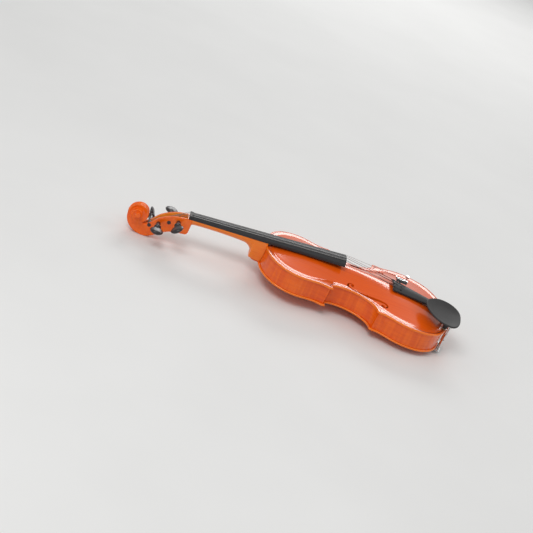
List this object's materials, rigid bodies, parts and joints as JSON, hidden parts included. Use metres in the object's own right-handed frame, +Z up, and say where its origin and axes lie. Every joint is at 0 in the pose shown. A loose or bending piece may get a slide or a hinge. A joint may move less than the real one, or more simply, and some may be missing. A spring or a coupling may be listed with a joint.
{
  "type": "violin",
  "caption": "Full-size violin with arched plates, carved scroll, friction pegs, strings laid on the fingerboard, tailpiece with fine tuner and clamped chin rest, no bridge.",
  "frame": {"origin": "middle of the bounding box on the surface that the violin lies on, back down, touching with its back arch and its scroll", "axes": "+X from the scroll to the end button, +Y from the bass side to the treble side, +Z up, out of the belly"},
  "size_m": [0.6132, 0.212, 0.0898],
  "materials": {
    "varnished_spruce": "glossy orange-red varnish over fine straight grain",
    "varnished_maple": "glossy orange-red varnish over faintly flamed maple",
    "neck_maple": "glossy orange varnish, paler on the shaft",
    "bare_spruce": "unvarnished",
    "purfling": "dark inlay",
    "ebony": "satin black",
    "tailpiece_black": "satin",
    "chin_rest_black": "matte",
    "cork": "bare cork",
    "nylon": "satin",
    "brass": "polished",
    "string_steel": "wound",
    "nickel": "polished"
  },
  "bodies": {
    "instrument": {"top_plate": "varnished_spruce", "back_plate": "varnished_maple", "rib_upper_bass": "varnished_maple", "rib_upper_treble": "varnished_maple", "rib_waist_bass": "varnished_maple", "rib_waist_treble": "varnished_maple", "rib_lower_bass": "varnished_maple", "rib_lower_treble": "varnished_maple", "upper_block": "bare_spruce", "lower_block": "bare_spruce", "corner_blocks": "bare_spruce", "linings_top": "bare_spruce", "linings_back": "bare_spruce", "bass_bar": "bare_spruce", "soundpost": "bare_spruce", "purfling_top": "purfling", "purfling_back": "purfling", "neck": "neck_maple", "fingerboard": "ebony", "nut": "ebony", "saddle": "ebony", "end_button": "ebony", "tailpiece": "tailpiece_black", "tailgut": "nylon", "tailgut_nuts": "brass", "tuner_frame": "nickel", "tuner_pin": "nickel", "tuner_ring_nut": "nickel", "string_g": "string_steel", "string_d": "string_steel", "string_a": "string_steel", "string_e": "string_steel", "string_ball_ends": "brass", "chin_rest": "chin_rest_black", "chin_rest_cork": "cork", "chin_rest_bracket": "nickel", "chin_rest_studs": "nickel"},
    "tuner_shank_body": {"tuner_shank": "nickel"},
    "tuner_knob_body": {"tuner_knob": "nickel"},
    "tuner_lever_body": {"tuner_lever": "nickel"},
    "peg_g_body": {"peg_g": "ebony", "winding_g": "string_steel"},
    "peg_d_body": {"peg_d": "ebony", "winding_d": "string_steel"},
    "peg_a_body": {"peg_a": "ebony", "winding_a": "string_steel"},
    "peg_e_body": {"peg_e": "ebony", "winding_e": "string_steel"},
    "barrel_front_body": {"clamp_barrel_front": "nickel"},
    "barrel_rear_body": {"clamp_barrel_rear": "nickel"},
    "clamp_foot_body": {"clamp_foot": "nickel", "clamp_foot_cork": "cork"}
  },
  "joints": [
    {"name": "peg_g_turn", "type": "hinge", "parent": "instrument", "child": "peg_g_body", "pos_m": [-0.21846, 0, 0.04838], "axis": [0, -1, 0], "continuous": true},
    {"name": "peg_d_turn", "type": "hinge", "parent": "instrument", "child": "peg_d_body", "pos_m": [-0.25035, 0, 0.03312], "axis": [0, -1, 0], "continuous": true},
    {"name": "peg_a_turn", "type": "hinge", "parent": "instrument", "child": "peg_a_body", "pos_m": [-0.26438, 0, 0.02388], "axis": [0, 1, 0], "continuous": true},
    {"name": "peg_e_turn", "type": "hinge", "parent": "instrument", "child": "peg_e_body", "pos_m": [-0.23385, 0, 0.04172], "axis": [0, 1, 0], "continuous": true},
    {"name": "tuner_screw_travel", "type": "slide", "parent": "instrument", "child": "tuner_shank_body", "axis": [-0.0554, 0, -0.9985], "range_m": [0, 0.001]},
    {"name": "tuner_knob_turn", "type": "hinge", "parent": "tuner_shank_body", "child": "tuner_knob_body", "pos_m": [0.1992, 0.0146, 0.08483], "axis": [-0.0554, 0, -0.9985], "range_deg": [0, 720]},
    {"name": "tuner_lever_rock", "type": "hinge", "parent": "instrument", "child": "tuner_lever_body", "pos_m": [0.18516, 0.0146, 0.07719], "axis": [0, 1, 0], "range_deg": [0, 4.3]},
    {"name": "clamp_barrel_front_turn", "type": "hinge", "parent": "instrument", "child": "barrel_front_body", "pos_m": [0.28901, -0.05299, 0.02625], "axis": [0.0554, 0, 0.9985], "range_deg": [0, 1080]},
    {"name": "clamp_barrel_rear_turn", "type": "hinge", "parent": "instrument", "child": "barrel_rear_body", "pos_m": [0.2935, -0.03236, 0.026], "axis": [0.0554, 0, 0.9985], "range_deg": [0, 1080]},
    {"name": "clamp_foot_travel", "type": "slide", "parent": "instrument", "child": "clamp_foot_body", "axis": [-0.0554, 0, -0.9985], "range_m": [0, 0.003]}
  ],
  "couplings": [
    {"joint": "tuner_knob_turn", "follows": "tuner_screw_travel", "rad_per_m": 12566},
    {"joint": "tuner_lever_rock", "follows": "tuner_screw_travel", "rad_per_m": 73.5},
    {"joint": "clamp_barrel_front_turn", "follows": "clamp_foot_travel", "rad_per_m": 6283.1},
    {"joint": "clamp_barrel_rear_turn", "follows": "clamp_foot_travel", "rad_per_m": 6283.1}
  ]
}
